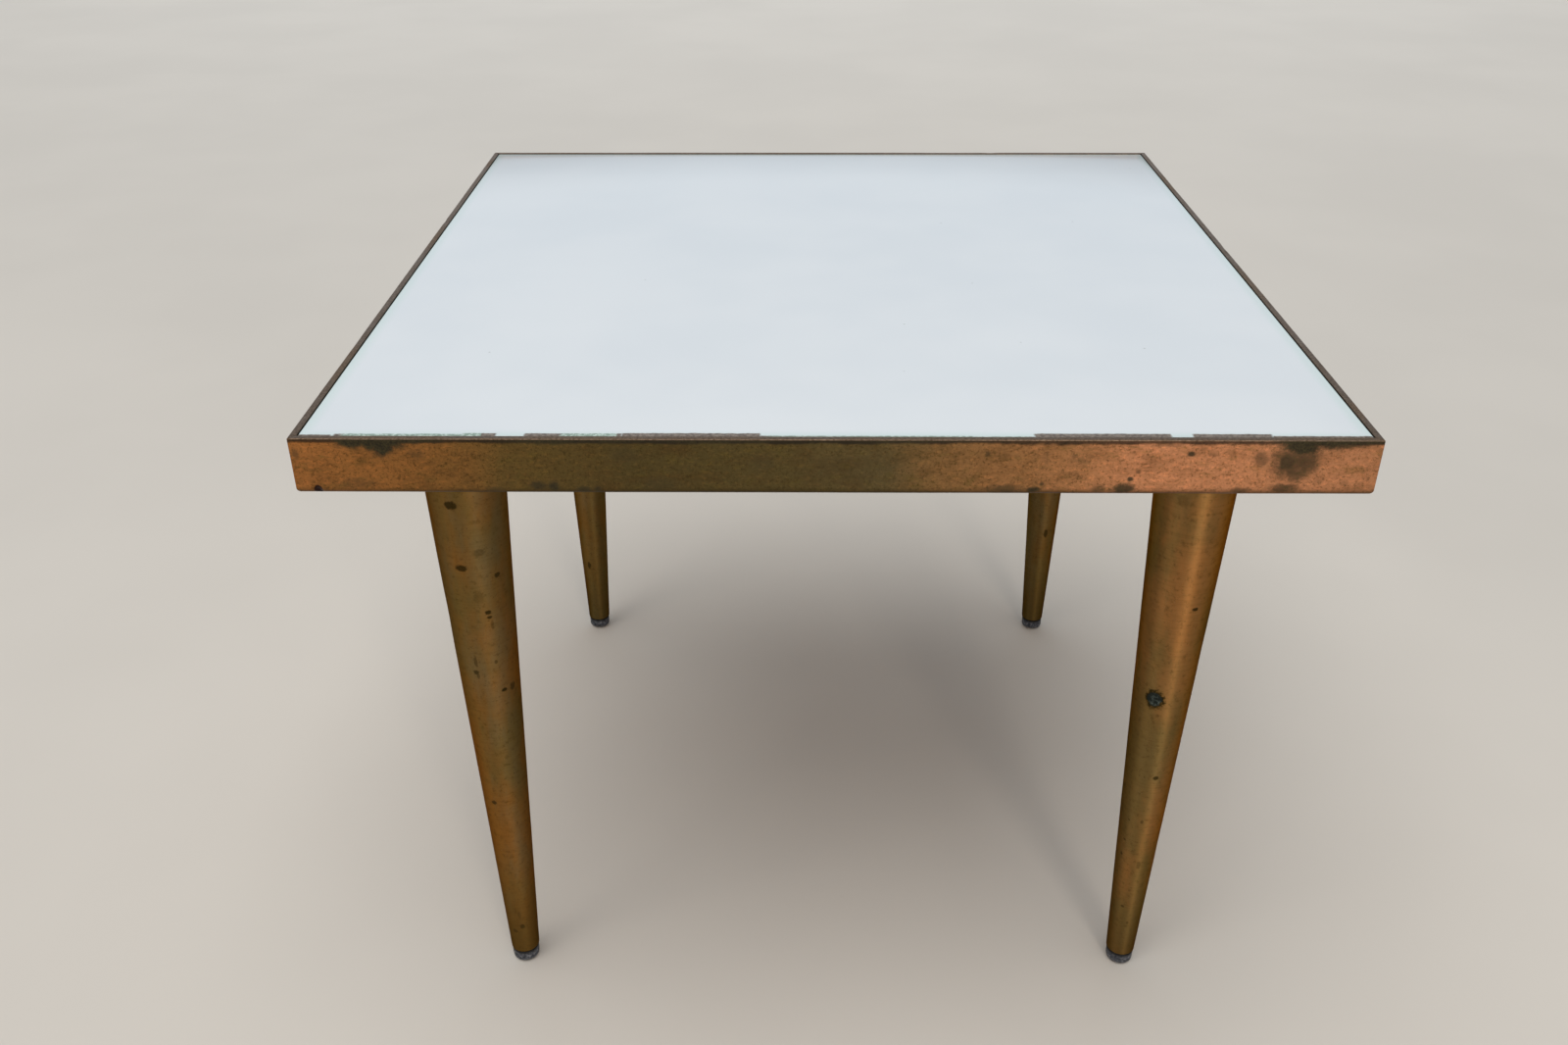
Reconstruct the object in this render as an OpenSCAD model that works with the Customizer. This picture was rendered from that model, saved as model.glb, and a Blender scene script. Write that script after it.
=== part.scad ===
// Low square side table: a white glass top let into a mitred brass band,
// on four straight-tapered legs of brass over turned wood, screwed into steel plates.
// Millimetres, +Z up. The origin is on the floor, under the middle of the top.

/* [Table] */
// Width of the top, left to right over the band
top_w = 457; // [380:1:560]
// Depth of the top, front to back over the band
top_d = 457; // [380:1:560]
// Height of the rim above the floor
table_h = 360; // [300:1:450]

/* [Band] */
// Height of the brass band
band_h = 26; // [22:0.5:32]
// Thickness of the band's wall, seen from above as its lip
band_t = 3; // [2:0.25:4]
// Radius rolled along the band's bottom edge
band_roll_r = 2.5; // [1:0.25:3]
// Radius that years of dusting have given the band's top edge
band_edge_r = 0.4; // [0.2:0.1:0.6]
// Thickness of the ledge that turns in under the board
ledge_t = 2; // [1.5:0.25:3]
// Width of the ledge, inward from the wall
ledge_w = 13; // [11:0.5:16]

/* [Glass] */
// Thickness of the glass
glass_t = 5; // [4:0.5:6]
// Height of the lip above the glass
glass_drop = 0.3; // [0:0.1:1]
// Gap between the glass and the lip
glass_gap = 0.4; // [0.3:0.1:1]
// Width of the arris ground along the glass's edges
glass_arris = 0.6; // [0.3:0.1:1]
// Thickness of the felt under the glass
felt_t = 1; // [0.8:0.1:2]
// Margin between the edges of the felt and of the glass
felt_margin = 6; // [2:1:12]

/* [Board] */
// Gap between the board's edge and the band
board_gap = 0.5; // [0.3:0.1:1]
// Screws through the ledge along each side
band_screws_per_side = 3; // [2:1:4]

/* [Leg plates] */
// Side of the square steel plate
plate_w = 60; // [56:1:70]
// Thickness of the plate
plate_t = 2; // [1.5:0.25:3]
// Corner radius of the plate
plate_corner_r = 6; // [3:0.5:8]
// Distance between the plate's screw holes
plate_hole_pitch = 44; // [42:0.5:46]
// Outer diameter of the threaded boss
boss_d = 13; // [12:0.5:16]
// Height of the boss above the plate
boss_h = 9; // [7:0.5:11]

/* [Legs] */
// Distance from the band's face to a leg's axis
leg_inset = 57; // [50:1:75]
// Diameter of a leg at its top
leg_top_d = 39.6; // [34:0.2:46]
// Diameter of a leg at the bottom of its brass
leg_foot_d = 15.6; // [14:0.2:22]
// Thickness of the brass sleeve
sleeve_t = 0.8; // [0.6:0.1:1.2]
// Radius spun round the sleeve's top edge
sleeve_shoulder_r = 1.6; // [1.2:0.1:2.5]
// Hole for the hanger bolt in the sleeve's closed top
sleeve_hole_d = 10; // [9:0.5:12]

/* [Leg fixings] */
// Diameter of the hanger bolt, 5/16 in
bolt_d = 7.94; // [6.35:0.01:9.53]
// Lead of its thread, 18 to the inch
thread_lead = 1.411; // [1:0.001:1.6]
// Turns from tight to the last thread
leg_turns = 8; // [5:1:8]
// Length of the bolt's wood thread
bolt_wood_l = 38; // [25:1:60]
// Thickness of the lock washer
washer_t = 2; // [1.2:0.1:2.5]
// Outer diameter of the lock washer
washer_d = 15; // [13.5:0.5:17]

/* [Glides] */
// Step in from the brass to the glide all round
glide_step = 0.3; // [0.1:0.1:0.8]
// Height of glide that shows under the brass
glide_show = 9; // [6:0.5:12]
// Diameter of the flat that floors have worn under it
glide_flat_d = 10; // [6:0.5:12]
// Diameter of the glide's nail
glide_nail_d = 2.6; // [2:0.1:3]
// Length of the glide's nail
glide_nail_l = 18; // [12:1:26]

/* [Wood screws] */
// Diameter of a wood screw's shank
screw_d = 3.5; // [3:0.1:4]
// Diameter of a screw's countersunk head
screw_head_d = 7; // [6:0.2:8]
// Length of a plate screw, head included
plate_screw_l = 15; // [10:0.5:16]
// Length of a band screw, head included
band_screw_l = 12; // [8:0.5:14]

/* [Hidden] */
$fn = 96;
CORNERS = ["front_left", "front_right", "rear_left", "rear_right"];

thread_gap = 0.05; // radial gap in a thread
hole_gap = 0.3; // radial gap round a screw or bolt that passes through a clearance hole
boss_gap = 0.5; // gap round and above the boss in its hole in the board
nail_cap_t = 1.2; // height of the steel cap that the glide keeps inside the brass
head_rim = 0.3; // height of the straight rim of a screw's head
slot_w = 1; // width of the slot in a screw's head
slot_depth = 0.6;
screw_tip_l = 3;
washer_split = 1.2; // width of the cut through the lock washer
washer_turn = 35; // angle at which that cut lies when the leg is tight
bolt_chamfer = 1;
bolt_point_l = 8; // length of the hanger bolt's wood point
bolt_point_r = 1;
glide_rim_share = 0.34; // share of the glide's height that its rounding takes
glide_shadow = 0.8; // open gap between the glide's rim and the brass
glide_cap_gap = 0.5; // gap between the glide's cap and the inside of the brass
nail_point_l = 2;
arc_steps = 8; // straight steps in an edge's quarter turn
eps = 0.01; // overshoot of a cutting shape
brass = [0.60, 0.42, 0.27];
leg_brass = [0.42, 0.33, 0.17];

// Levels above the floor
band_z = table_h - band_h;
board_z = band_z + ledge_t;
glass_top_z = table_h - glass_drop;
glass_z = glass_top_z - glass_t;
board_top_z = glass_z - felt_t;
board_t = board_top_z - board_z;
plate_z = board_z - plate_t;
leg_z = plate_z - washer_t;
sleeve_z = glide_show;

// Plan sizes
well_w = top_w - 2 * band_t;
well_d = top_d - 2 * band_t;
band_screw_y = band_t + ledge_w / 2;

// Screw heads: 90 degree countersinks
head_h = (screw_head_d - screw_d) / 2;

// Leg: the sleeve's taper, and what follows it inside
leg_h = leg_z - sleeve_z;
taper = (leg_top_d - leg_foot_d) / 2 / leg_h;
function leg_r(z) = leg_foot_d / 2 + (z - sleeve_z) * taper;
core_z = sleeve_z + nail_cap_t;
bolt_up = leg_turns * thread_lead + 1;
bolt_hole_r = bolt_d / 2 + thread_gap;
boss_hole_h = max(boss_h, bolt_up - plate_t) + boss_gap;

// Where a leg stands
function leg_xy(c) = [
    (c == "front_left" || c == "rear_left" ? -1 : 1) * (top_w / 2 - leg_inset),
    (c == "front_left" || c == "front_right" ? -1 : 1) * (top_d / 2 - leg_inset)
];
function square_xy(pitch) = [for (x = [-1, 1], y = [-1, 1]) [x, y] * pitch / 2];

// Points of an arc from angle a0 to a1 round a centre
function arc(centre, r, a0, a1) = [
    for (i = [0 : arc_steps]) let (a = a0 + (a1 - a0) * i / arc_steps) centre + r * [cos(a), sin(a)]
];

// Rows of band screws: the points along one side, measured from its middle
function side_points(length) = let (run = length - 4 * (band_t + ledge_w))
    [for (i = [0 : band_screws_per_side - 1]) run * (i / (band_screws_per_side - 1) - 0.5)];

module at_corner(c) {
    translate([leg_xy(c)[0], leg_xy(c)[1], 0]) children();
}

module rounded_plate(w, r, t) {
    linear_extrude(t) difference() {
        square(w, center = true);
        for (a = [0 : 90 : 270]) rotate(a) translate([w / 2 - r, w / 2 - r]) difference() {
            square(r + eps);
            circle(r);
        }
    }
}

// A countersunk wood screw standing head down, its head's face at z = 0
module wood_screw(length) {
    difference() {
        rotate_extrude() polygon([
            [0, 0], [screw_head_d / 2, 0], [screw_head_d / 2, head_rim],
            [screw_d / 2, head_h + head_rim], [screw_d / 2, length - screw_tip_l], [0, length]
        ]);
        translate([-screw_head_d, -slot_w / 2, -eps]) cube([2 * screw_head_d, slot_w, slot_depth + eps]);
    }
}

// The countersunk clearance hole for a wood screw through metal of thickness t
module countersink(t) {
    translate([0, 0, -eps]) cylinder(h = t + 2 * eps, d = screw_d + 2 * hole_gap);
    translate([0, 0, -eps]) cylinder(h = head_rim + 2 * eps, d = screw_head_d + 2 * hole_gap);
    translate([0, 0, head_rim])
        cylinder(h = head_h, d1 = screw_head_d + 2 * hole_gap, d2 = screw_d + 2 * hole_gap);
}

// The hole that a wood screw of this length fills above metal of thickness t
module pilot(length, t) {
    translate([0, 0, t - eps]) cylinder(h = length - t + 1, d = screw_d + 2 * thread_gap);
}

module each_band_screw() {
    for (side = [-1, 1]) {
        for (x = side_points(top_w)) translate([x, side * (top_d / 2 - band_screw_y), band_z]) children();
        for (y = side_points(top_d)) translate([side * (top_w / 2 - band_screw_y), y, band_z]) children();
    }
}

module each_plate_screw() {
    for (c = CORNERS) at_corner(c)
        for (p = square_xy(plate_hole_pitch)) translate([p[0], p[1], plate_z]) children();
}

// ---- top ----

module glass_top() {
    w = well_w - 2 * glass_gap;
    d = well_d - 2 * glass_gap;
    color([0.85, 0.88, 0.90]) translate([0, 0, glass_z]) difference() {
        translate([-w / 2, -d / 2, 0]) cube([w, d, glass_t]);
        for (z = [0, glass_t], side = [-1, 1]) {
            translate([side * w / 2, 0, z]) rotate([90, 45, 0])
                cube([glass_arris * sqrt(2), glass_arris * sqrt(2), d + 2], center = true);
            translate([0, side * d / 2, z]) rotate([45, 0, 0])
                cube([w + 2, glass_arris * sqrt(2), glass_arris * sqrt(2)], center = true);
        }
    }
}

module felt_bed() {
    w = well_w - 2 * (glass_gap + felt_margin);
    d = well_d - 2 * (glass_gap + felt_margin);
    color([0.30, 0.30, 0.28]) translate([-w / 2, -d / 2, board_top_z]) cube([w, d, felt_t]);
}

module core_board() {
    w = well_w - 2 * board_gap;
    d = well_d - 2 * board_gap;
    color([0.66, 0.50, 0.33]) difference() {
        translate([-w / 2, -d / 2, board_z]) cube([w, d, board_t]);
        for (c = CORNERS) at_corner(c) translate([0, 0, board_z - eps])
            cylinder(h = boss_hole_h + eps, d = boss_d + 2 * boss_gap);
        each_plate_screw() pilot(plate_screw_l, plate_t);
        each_band_screw() pilot(band_screw_l, ledge_t);
    }
}

// Section of the band: x inward from its face, y up from its bottom edge
module band_section() {
    polygon(concat(
        arc([band_roll_r, band_roll_r], band_roll_r, 270, 180),
        arc([band_edge_r, band_h - band_edge_r], band_edge_r, 180, 90),
        [[band_t, band_h], [band_t, ledge_t], [band_t + ledge_w, ledge_t], [band_t + ledge_w, 0]]
    ));
}

// One side of the band, its face along y = 0 and its middle at x = 0, mitred at both ends
module band_bar(length) {
    end = length / 2;
    reach = band_t + ledge_w;
    intersection() {
        translate([-end, 0, band_z]) rotate([90, 0, 90]) linear_extrude(length) band_section();
        translate([0, 0, band_z - 1]) linear_extrude(band_h + 2)
            polygon([[-end, 0], [end, 0], [end - reach, reach], [reach - end, reach]]);
    }
}

module band_side(turn, length, across) {
    color(brass) difference() {
        rotate(turn) translate([0, -across / 2, 0]) band_bar(length);
        each_band_screw() countersink(ledge_t);
    }
}

module band_front() { band_side(0, top_w, top_d); }
module band_right() { band_side(90, top_d, top_w); }
module band_rear() { band_side(180, top_w, top_d); }
module band_left() { band_side(270, top_d, top_w); }

module band_screws() {
    color([0.62, 0.50, 0.30]) each_band_screw() wood_screw(band_screw_l);
}

module plate_screws() {
    color([0.45, 0.45, 0.46]) each_plate_screw() wood_screw(plate_screw_l);
}

// ---- what each leg screws into ----

module leg_plate(c) {
    color([0.50, 0.50, 0.52]) at_corner(c) translate([0, 0, plate_z]) difference() {
        union() {
            rounded_plate(plate_w, plate_corner_r, plate_t);
            cylinder(h = plate_t + boss_h, d = boss_d);
        }
        translate([0, 0, -eps]) cylinder(h = plate_t + boss_h + 2 * eps, r = bolt_hole_r);
        for (p = square_xy(plate_hole_pitch)) translate([p[0], p[1], 0]) countersink(plate_t);
    }
}

// A spring washer, split along one radius
module lock_washer(c) {
    color([0.42, 0.42, 0.43]) at_corner(c) translate([0, 0, leg_z]) difference() {
        cylinder(h = washer_t, d = washer_d);
        translate([0, 0, -eps]) cylinder(h = washer_t + 2 * eps, r = bolt_d / 2 + hole_gap);
        rotate(washer_turn) translate([0, -washer_split / 2, -eps])
            cube([washer_d, washer_split, washer_t + 2 * eps]);
    }
}

// ---- legs ----

// Hanger bolt: pointed wood thread in the leg, machine thread standing out of its top
module hanger_bolt(c) {
    r = bolt_d / 2;
    tip = washer_t + bolt_up;
    color([0.55, 0.55, 0.56]) at_corner(c) translate([0, 0, leg_z]) rotate_extrude() polygon([
        [0, -bolt_wood_l], [bolt_point_r, -bolt_wood_l], [r, bolt_point_l - bolt_wood_l],
        [r, tip - bolt_chamfer], [r - bolt_chamfer, tip], [0, tip]
    ]);
}

// Straight-tapered wood, drilled for the bolt and for the glide's nail
module leg_core(c) {
    shoulder = sleeve_shoulder_r - sleeve_t;
    top_z = leg_z - sleeve_t;
    turn_z = top_z - shoulder;
    color([0.62, 0.46, 0.30]) at_corner(c) difference() {
        rotate_extrude() polygon(concat(
            [[0, core_z], [leg_r(core_z) - sleeve_t, core_z]],
            arc([leg_r(turn_z) - sleeve_t - shoulder, turn_z], shoulder, 0, 90),
            [[0, top_z]]
        ));
        translate([0, 0, leg_z - bolt_wood_l - 1]) cylinder(h = bolt_wood_l + 2, r = bolt_hole_r);
        translate([0, 0, core_z - eps]) cylinder(h = glide_nail_l + 1, d = glide_nail_d + 2 * thread_gap);
    }
}

// Brass sleeve, closed at the top but for the bolt's hole, and open at the foot
module leg_sleeve(c) {
    inner = sleeve_shoulder_r - sleeve_t;
    turn_z = leg_z - sleeve_shoulder_r;
    centre = [leg_r(turn_z) - sleeve_shoulder_r, turn_z];
    color(leg_brass) at_corner(c) rotate_extrude() polygon(concat(
        [[leg_r(sleeve_z) - sleeve_t, sleeve_z], [leg_r(sleeve_z), sleeve_z]],
        arc(centre, sleeve_shoulder_r, 0, 90),
        [[sleeve_hole_d / 2, leg_z], [sleeve_hole_d / 2, leg_z - sleeve_t]],
        arc(centre, inner, 90, 0)
    ));
}

// Steel glide: a cup with a rounded foot worn flat, a straight rim, a cap and its nail
module glide(c) {
    r = leg_foot_d / 2 - glide_step;
    cap_r = leg_foot_d / 2 - sleeve_t - glide_cap_gap;
    flat = glide_flat_d / 2;
    dome_h = glide_show * glide_rim_share;
    nail_z = core_z + glide_nail_l;
    color([0.27, 0.27, 0.29]) at_corner(c) rotate_extrude() polygon(concat(
        [[0, 0], [flat, 0]],
        [for (i = [1 : arc_steps]) let (a = 90 * i / arc_steps)
            [flat + (r - flat) * sin(a), dome_h * (1 - cos(a))]],
        [[r, glide_show - glide_shadow], [cap_r, glide_show - glide_shadow],
         [cap_r, core_z], [glide_nail_d / 2, core_z],
         [glide_nail_d / 2, nail_z - nail_point_l], [0, nail_z]]
    ));
}

glass_top();
felt_bed();
core_board();
band_front();
band_rear();
band_left();
band_right();
band_screws();
plate_screws();
for (c = CORNERS) {
    leg_plate(c);
    lock_washer(c);
    hanger_bolt(c);
    leg_core(c);
    leg_sleeve(c);
    glide(c);
}
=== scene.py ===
"""Low square side table: back-painted glass in a mitred brass band, on four tapered legs of
brass over wood, which screw into steel plates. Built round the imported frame, in metres."""

import math
import random

import bmesh
import bpy
from mathutils import Matrix, Vector, noise


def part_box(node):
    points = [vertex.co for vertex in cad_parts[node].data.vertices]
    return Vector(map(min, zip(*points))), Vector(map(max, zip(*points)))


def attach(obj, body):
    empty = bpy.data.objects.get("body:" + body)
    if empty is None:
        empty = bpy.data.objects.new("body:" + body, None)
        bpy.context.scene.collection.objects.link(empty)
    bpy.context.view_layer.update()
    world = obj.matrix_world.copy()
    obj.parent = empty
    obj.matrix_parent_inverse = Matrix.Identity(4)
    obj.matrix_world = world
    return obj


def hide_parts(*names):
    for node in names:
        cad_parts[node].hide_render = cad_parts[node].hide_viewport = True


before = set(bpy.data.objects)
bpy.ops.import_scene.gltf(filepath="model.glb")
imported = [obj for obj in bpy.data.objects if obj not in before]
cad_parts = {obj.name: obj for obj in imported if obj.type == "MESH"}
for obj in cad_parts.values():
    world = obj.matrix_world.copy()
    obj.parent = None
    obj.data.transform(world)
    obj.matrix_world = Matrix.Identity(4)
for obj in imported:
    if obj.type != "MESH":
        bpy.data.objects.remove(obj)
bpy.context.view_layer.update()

MM = 0.001
CORNERS = ("front_left", "front_right", "rear_left", "rear_right")

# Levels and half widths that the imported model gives
band_low, band_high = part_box("band_front")
glass_low, glass_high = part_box("glass_top")
felt_low, felt_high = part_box("felt_bed")
sleeve_low, sleeve_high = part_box("leg_sleeve_front_left")
washer_low, washer_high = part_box("lock_washer_front_left")
bolt_low, bolt_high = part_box("hanger_bolt_front_left")
plate_low, plate_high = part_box("leg_plate_front_left")
glide_low, glide_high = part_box("glide_front_left")
HALF = band_high.x
BAND_Z = band_low.z
RIM_Z = band_high.z
PLATE_Z = plate_low.z
LEG_TOP_Z = sleeve_high.z
FOOT_Z = sleeve_low.z

# Brass band
BAND_H = RIM_Z - BAND_Z
WALL = 3 * MM
LEDGE = 2 * MM
LEDGE_REACH = 16 * MM
ROLL_R = 2.5 * MM
BAND_STEP = 1.3 * MM
BAND_STATIONS = 220
RIM_R = 0.4 * MM
INNER_R = 0.25 * MM
MITRE_GAP = 0.04 * MM
MITRE_R = 0.22 * MM

# Brass sleeves
LEG_TOP_R = 19.8 * MM
LEG_FOOT_R = 7.8 * MM
SLEEVE_T = 0.8 * MM
SHOULDER_R = 1.6 * MM
SLEEVE_STEP = 1.9 * MM
INSIDE_STEP = 25 * MM
BOLT_HOLE_R = 5 * MM

# Fixings
SCREW_R = 1.75 * MM
SCREW_HEAD_R = 3.5 * MM
SCREW_RIM = 0.3 * MM
SCREW_HOLE_GAP = 0.3 * MM
SCREW_PITCH = 1.3 * MM
BAND_SCREW_L = 12 * MM
PLATE_SCREW_L = 15 * MM
BAND_SCREW_IN = 9.5 * MM
BAND_SCREW_RUN = HALF - 2 * LEDGE_REACH
PLATE_SCREW_OUT = 22 * MM
BOLT_R = 3.97 * MM
BOLT_PITCH = 25.4 / 18 * MM
BOLT_BORE_R = 4.02 * MM
PLATE_T = 2 * MM
PLATE_CORNER_R = 6 * MM
BOSS_R = 6.5 * MM
WASHER_R = 7.5 * MM
WASHER_SPLIT = 1.2 * MM

# Plywood: each ply, and how far apart a wave texture of scale 1 draws its bands, in metres
PLY_T = 1.7 * MM
WAVE_BAND = 0.31

# Glass and felt
GLASS_EDGE = 0.6 * MM
FRAY = 0.5 * MM
FRAY_LENGTH = 9 * MM

# How far each surface wanders from true: depth and length of each wave, in millimetres
BAND_WAVES = ((0.10, 48), (0.035, 11))
SLEEVE_WAVES = ((0.05, 30), (0.018, 6))

# How many flats each round piece is drawn with
HOLE_SIDES = 40
SCREW_SIDES = 24
PLATE_SIDES = 48
BOLT_SIDES = 48
GLIDE_SIDES = 72
SLEEVE_SIDES = 112


def taper(z):
    """Radius of the brass sleeves at height z."""
    return LEG_FOOT_R + (LEG_TOP_R - LEG_FOOT_R) * (z - FOOT_Z) / (LEG_TOP_Z - FOOT_Z)


# ---- materials ----

def paint(code):
    """An sRGB hex colour as linear red, green, blue and alpha."""
    parts = [int(code[i:i + 2], 16) / 255 for i in (1, 3, 5)]
    return [c / 12.92 if c <= 0.04045 else ((c + 0.055) / 1.055) ** 2.4 for c in parts] + [1]


EVERY = slice(None)


def add(tree, kind, feeds=(), out=0, stops=(), **settings):
    """Adds one node with its settings and its colour stops, and feeds its inputs, each of them
    from a socket, a value or a colour's code. Gives back one of its outputs, or EVERY one."""
    made = tree.nodes.new("ShaderNode" + kind)
    for name, value in settings.items():
        setattr(made, name, value)
    for i, (place, colour) in enumerate(stops):
        ramp = made.color_ramp.elements
        stop = ramp[i] if i < len(ramp) else ramp.new(place)
        stop.position = place
        stop.color = paint(colour)
    for slot, feed in feeds.items() if isinstance(feeds, dict) else enumerate(feeds):
        if isinstance(feed, bpy.types.NodeSocket):
            tree.links.new(feed, made.inputs[slot])
        else:
            made.inputs[slot].default_value = paint(feed) if isinstance(feed, str) else feed
    return made.outputs[out] if made.outputs else None


def new_material(name):
    """An empty material, its nodes, and the place on the piece in metres."""
    finish = bpy.data.materials.new(name)
    finish.use_nodes = True
    tree = finish.node_tree
    tree.nodes.clear()
    return finish, tree, add(tree, "TexCoord", out="Object")


def grain(tree, where, size, detail=3, rough=0.55, stretch=(1, 1, 1), seed=0):
    """Noise whose lumps measure about size, drawn out by stretch, as a value round 0.5."""
    scaled = add(tree, "Mapping", {0: where, 1: (seed, seed * 0.7, -seed),
                                   3: [s / size for s in stretch]})
    return add(tree, "TexNoise", {"Vector": scaled, "Scale": 1, "Detail": detail,
                                  "Roughness": rough})


def coat(tree, colour, over, pattern, low, high, share=1.0):
    """Lays the colour over on a colour, each a code or a socket, up to a share of it as the
    pattern goes from low to high."""
    mask = add(tree, "MapRange", (pattern, low, high, 0, share), interpolation_type="SMOOTHSTEP")
    return add(tree, "Mix", {0: mask, 6: colour, 7: over}, 2, data_type="RGBA")


def unsettled(tree, value, pattern, reach):
    """The value pushed up and down by half of reach each way, as the pattern goes."""
    pushed = add(tree, "Math", (pattern, reach, -reach / 2), operation="MULTIPLY_ADD")
    return add(tree, "Math", (value, pushed), operation="ADD")


def blot(tree, where, spot, half, ragged, strength=1.0, edge=0.35):
    """A mask for a ragged oval round spot, with half axes half and a soft edge."""
    away = add(tree, "VectorMath", (where, spot), operation="SUBTRACT")
    away = add(tree, "VectorMath", (away, [1 / h for h in half]), operation="MULTIPLY")
    away = add(tree, "VectorMath", [away], "Value", operation="LENGTH")
    away = add(tree, "Math", (away, ragged), operation="ADD")
    return add(tree, "MapRange", (away, 1 + edge, 1 - edge, 0, strength),
               interpolation_type="SMOOTHSTEP")


def most(tree, masks):
    """The strongest of several masks."""
    found = masks[0]
    for mask in masks[1:]:
        found = add(tree, "Math", (found, mask), operation="MAXIMUM")
    return found


def worn_to(tree, pattern, least, greatest, spoiled=0, rougher=0):
    """Roughness that follows a pattern, and is higher where the surface is spoiled."""
    matt = add(tree, "MapRange", (pattern, 0.3, 0.7, least, greatest))
    if not rougher:
        return matt
    return add(tree, "Math", (spoiled, rougher, matt), operation="MULTIPLY_ADD")


def surface(tree, colour, roughness, height=None, bump=0.1, depth=0.2 * MM, **settings):
    """The shader: its colour, roughness, relief and other inputs, joined to the output."""
    feeds = {"Base Color": colour, "Roughness": roughness}
    feeds.update((name.replace("_", " "), value) for name, value in settings.items())
    if height is not None:
        feeds["Normal"] = add(tree, "Bump", {"Height": height, "Strength": bump,
                                             "Distance": depth})
    add(tree, "OutputMaterial", [add(tree, "BsdfPrincipled", feeds)])


def back_painted_glass():
    """Float glass with white paint fired on its back: cool white under a hard gloss, aqua where
    the edge shows the glass itself, brown along the front where the paint has let go."""
    finish, tree, where = new_material("back_painted_float_glass")
    x, y = add(tree, "SeparateXYZ", [where], EVERY)[:2]
    cloud = grain(tree, where, 90 * MM, detail=2)
    colour = coat(tree, "#D9E0E7", "#DEE4EA", cloud, 0.3, 0.7)
    # The glass's own green shows within a few millimetres of its edges
    inset = [add(tree, "Math", (half, add(tree, "Math", [axis], operation="ABSOLUTE")),
                 operation="SUBTRACT")
             for half, axis in ((glass_high.x, x), (glass_high.y, y))]
    edge = add(tree, "Math", inset, operation="MINIMUM")
    colour = coat(tree, colour, "#C4DAD8", edge, 7 * MM, 0.5 * MM, 0.6)
    # Paint lost along the front edge, in lengths with ragged ends
    front = add(tree, "Math", (y, glass_high.y), operation="ADD")
    ragged = grain(tree, where, 3.5 * MM, detail=4, rough=0.7)
    along = unsettled(tree, x, ragged, 1.6 * MM)
    deep = unsettled(tree, front, ragged, 1.4 * MM)
    worn = []
    for start, end, reach in PAINT_LOST:
        edges = [add(tree, "MapRange", (part, at - fade, at + fade))
                 for part, at, fade in ((along, start * MM, 0.6 * MM), (along, end * MM, -0.6 * MM),
                                        (deep, reach * MM, -0.3 * MM))]
        both = add(tree, "Math", edges[:2], operation="MULTIPLY")
        worn.append(add(tree, "Math", (both, edges[2]), operation="MULTIPLY"))
    bare = most(tree, worn)
    crumbs = grain(tree, where, 1.6 * MM, detail=5, rough=0.7, seed=3)
    under = coat(tree, "#5D5148", "#857A70", crumbs, 0.4, 0.6)
    # Between the brown lengths the loss is pale, like verdigris in old putty
    chalky = most(tree, [blot(tree, where, (c * MM, -glass_high.y, glass_high.z),
                              (w * MM, 9 * MM, 9 * MM), 0, edge=0.08)
                         for c, w in PUTTY_PALE])
    pale = coat(tree, "#83998D", "#C3D5CE", crumbs, 0.45, 0.62)
    under = coat(tree, under, pale, chalky, 0, 1)
    colour = coat(tree, colour, under, bare, 0, 1)
    # Grey specks that dusting leaves
    specks = add(tree, "TexVoronoi", {"Vector": where, "Scale": 1 / (26 * MM)}, "Distance")
    colour = coat(tree, colour, "#9CA3A5", specks, 0.030, 0.015, 0.5)
    smear = grain(tree, where, 45 * MM, detail=4, rough=0.6, stretch=(0.35, 1, 1), seed=5)
    surface(tree, colour, worn_to(tree, smear, 0.05, 0.11, bare, 0.35), cloud, bump=0.02,
            depth=0.5 * MM, IOR=1.52)
    return finish


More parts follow.
